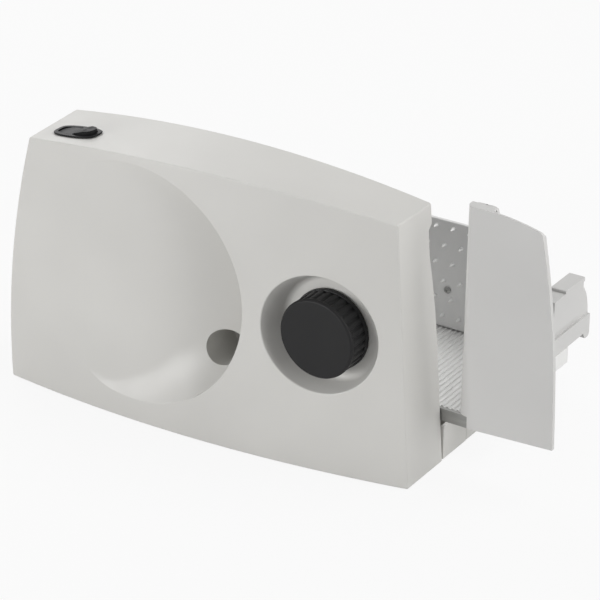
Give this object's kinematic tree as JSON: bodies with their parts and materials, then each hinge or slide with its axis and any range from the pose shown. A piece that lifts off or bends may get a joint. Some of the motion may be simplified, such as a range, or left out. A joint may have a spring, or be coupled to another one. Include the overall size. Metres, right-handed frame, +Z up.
{
  "type": "food slicer",
  "caption": "Electric food slicer with an arched casing, a thickness knob and sliding stop plate, a round serrated blade and a ribbed carriage with a spiked food holder",
  "frame": {"origin": "middle of the underside of the part's box, on the plane of the feet, with the stop plate open and the carriage at the right-hand end", "axes": "+X runs along the casing from the switch end to the stop plate, +Y from the knob side to the food carriage, +Z up"},
  "size_m": [0.403, 0.2265, 0.1994],
  "materials": {
    "casing": "pale warm grey moulded plastic, satin",
    "panel": "pale grey moulded plastic, satin",
    "tray": "near-white moulded plastic with fine ribs",
    "spikes": "mid-grey moulded plastic, matt",
    "inner_plastic": "dark grey moulded plastic",
    "nylon": "natural nylon",
    "black_plastic": "black plastic with a soft gloss",
    "rubber": "black rubber",
    "steel": "bright turned steel",
    "blade_steel": "circularly ground stainless steel",
    "motor_steel": "zinc-plated steel can",
    "arm_metal": "dull aluminium plate",
    "brass": "turned brass"
  },
  "bodies": {
    "housing": {"front_shell": "casing", "rear_cover": "casing", "base_frame": "casing", "carriage_base": "casing", "blade_guard": "casing", "gear_frame": "inner_plastic", "frame_screw_1": "steel", "frame_screw_2": "steel", "frame_screw_3": "steel", "cover_screw_1": "steel", "cover_screw_2": "steel", "cover_screw_3": "steel", "cover_screw_4": "steel", "cover_screw_5": "steel", "blade_bush_front": "brass", "blade_bush_rear": "brass", "reduction_pin": "steel", "motor": "motor_steel", "motor_saddle": "inner_plastic", "motor_strap": "steel", "spindle_bush": "brass", "guide_rod_upper": "steel", "guide_rod_lower": "steel", "carriage_rail": "steel", "switch_bezel": "black_plastic", "switch_body": "inner_plastic", "cord_inlet": "black_plastic", "foot_1": "rubber", "foot_2": "rubber", "foot_3": "rubber", "foot_4": "rubber"},
    "blade": {"blade_shaft": "steel", "blade_hub": "inner_plastic", "cutting_blade": "blade_steel", "blade_gear": "nylon"},
    "lock": {"blade_lock": "black_plastic"},
    "reduction": {"reduction_gear": "nylon"},
    "rotor": {"motor_shaft": "steel", "worm": "brass"},
    "knob": {"thickness_knob": "black_plastic", "knob_spindle": "steel"},
    "stop": {"stop_slide": "inner_plastic", "stop_arm": "arm_metal", "slide_screw": "steel", "stop_plate": "panel", "stop_plate_grip": "panel"},
    "carriage": {"carriage_tray": "tray", "carriage_shoe_left": "inner_plastic", "carriage_shoe_right": "inner_plastic", "carriage_wall": "panel"},
    "holder": {"spiked_plate": "spikes", "holder_grip": "panel", "holder_screw_1": "steel", "holder_screw_2": "steel"},
    "rocker": {"switch_rocker": "black_plastic"}
  },
  "joints": [
    {"name": "blade_spin", "type": "hinge", "parent": "housing", "child": "blade", "pos_m": [0.01455, -0.0337, 0.095], "axis": [0, 1, 0], "continuous": true},
    {"name": "lock_turn", "type": "hinge", "parent": "blade", "child": "lock", "pos_m": [0.01455, -0.033, 0.095], "axis": [0, 1, 0], "range_deg": [0, 90]},
    {"name": "reduction_spin", "type": "hinge", "parent": "housing", "child": "reduction", "pos_m": [0.02959, -0.0697, 0.0588], "axis": [0, 1, 0], "continuous": true},
    {"name": "motor_spin", "type": "hinge", "parent": "housing", "child": "rotor", "pos_m": [0.0296, -0.0737, 0.036], "axis": [1, 0, 0], "continuous": true},
    {"name": "knob_turn", "type": "hinge", "parent": "housing", "child": "knob", "pos_m": [0.05615, -0.1057, 0.1013], "axis": [0, 1, 0], "range_deg": [0, 330]},
    {"name": "stop_travel", "type": "slide", "parent": "housing", "child": "stop", "axis": [0, 1, 0], "range_m": [0, 0.014]},
    {"name": "carriage_travel", "type": "slide", "parent": "housing", "child": "carriage", "axis": [1, 0, 0], "range_m": [-0.15, 0]},
    {"name": "holder_push", "type": "slide", "parent": "carriage", "child": "holder", "axis": [0, -1, 0], "range_m": [0, 0.084]},
    {"name": "switch_rock", "type": "hinge", "parent": "housing", "child": "rocker", "pos_m": [-0.14995, -0.0832, 0.19254], "axis": [0, 1, 0], "range_deg": [0, 8]}
  ],
  "couplings": [
    {"joint": "reduction_spin", "follows": "blade_spin", "ratio": -3.3333},
    {"joint": "motor_spin", "follows": "blade_spin", "ratio": -53.333},
    {"joint": "stop_travel", "follows": "knob_turn", "m_per_rad": 0.00243}
  ]
}
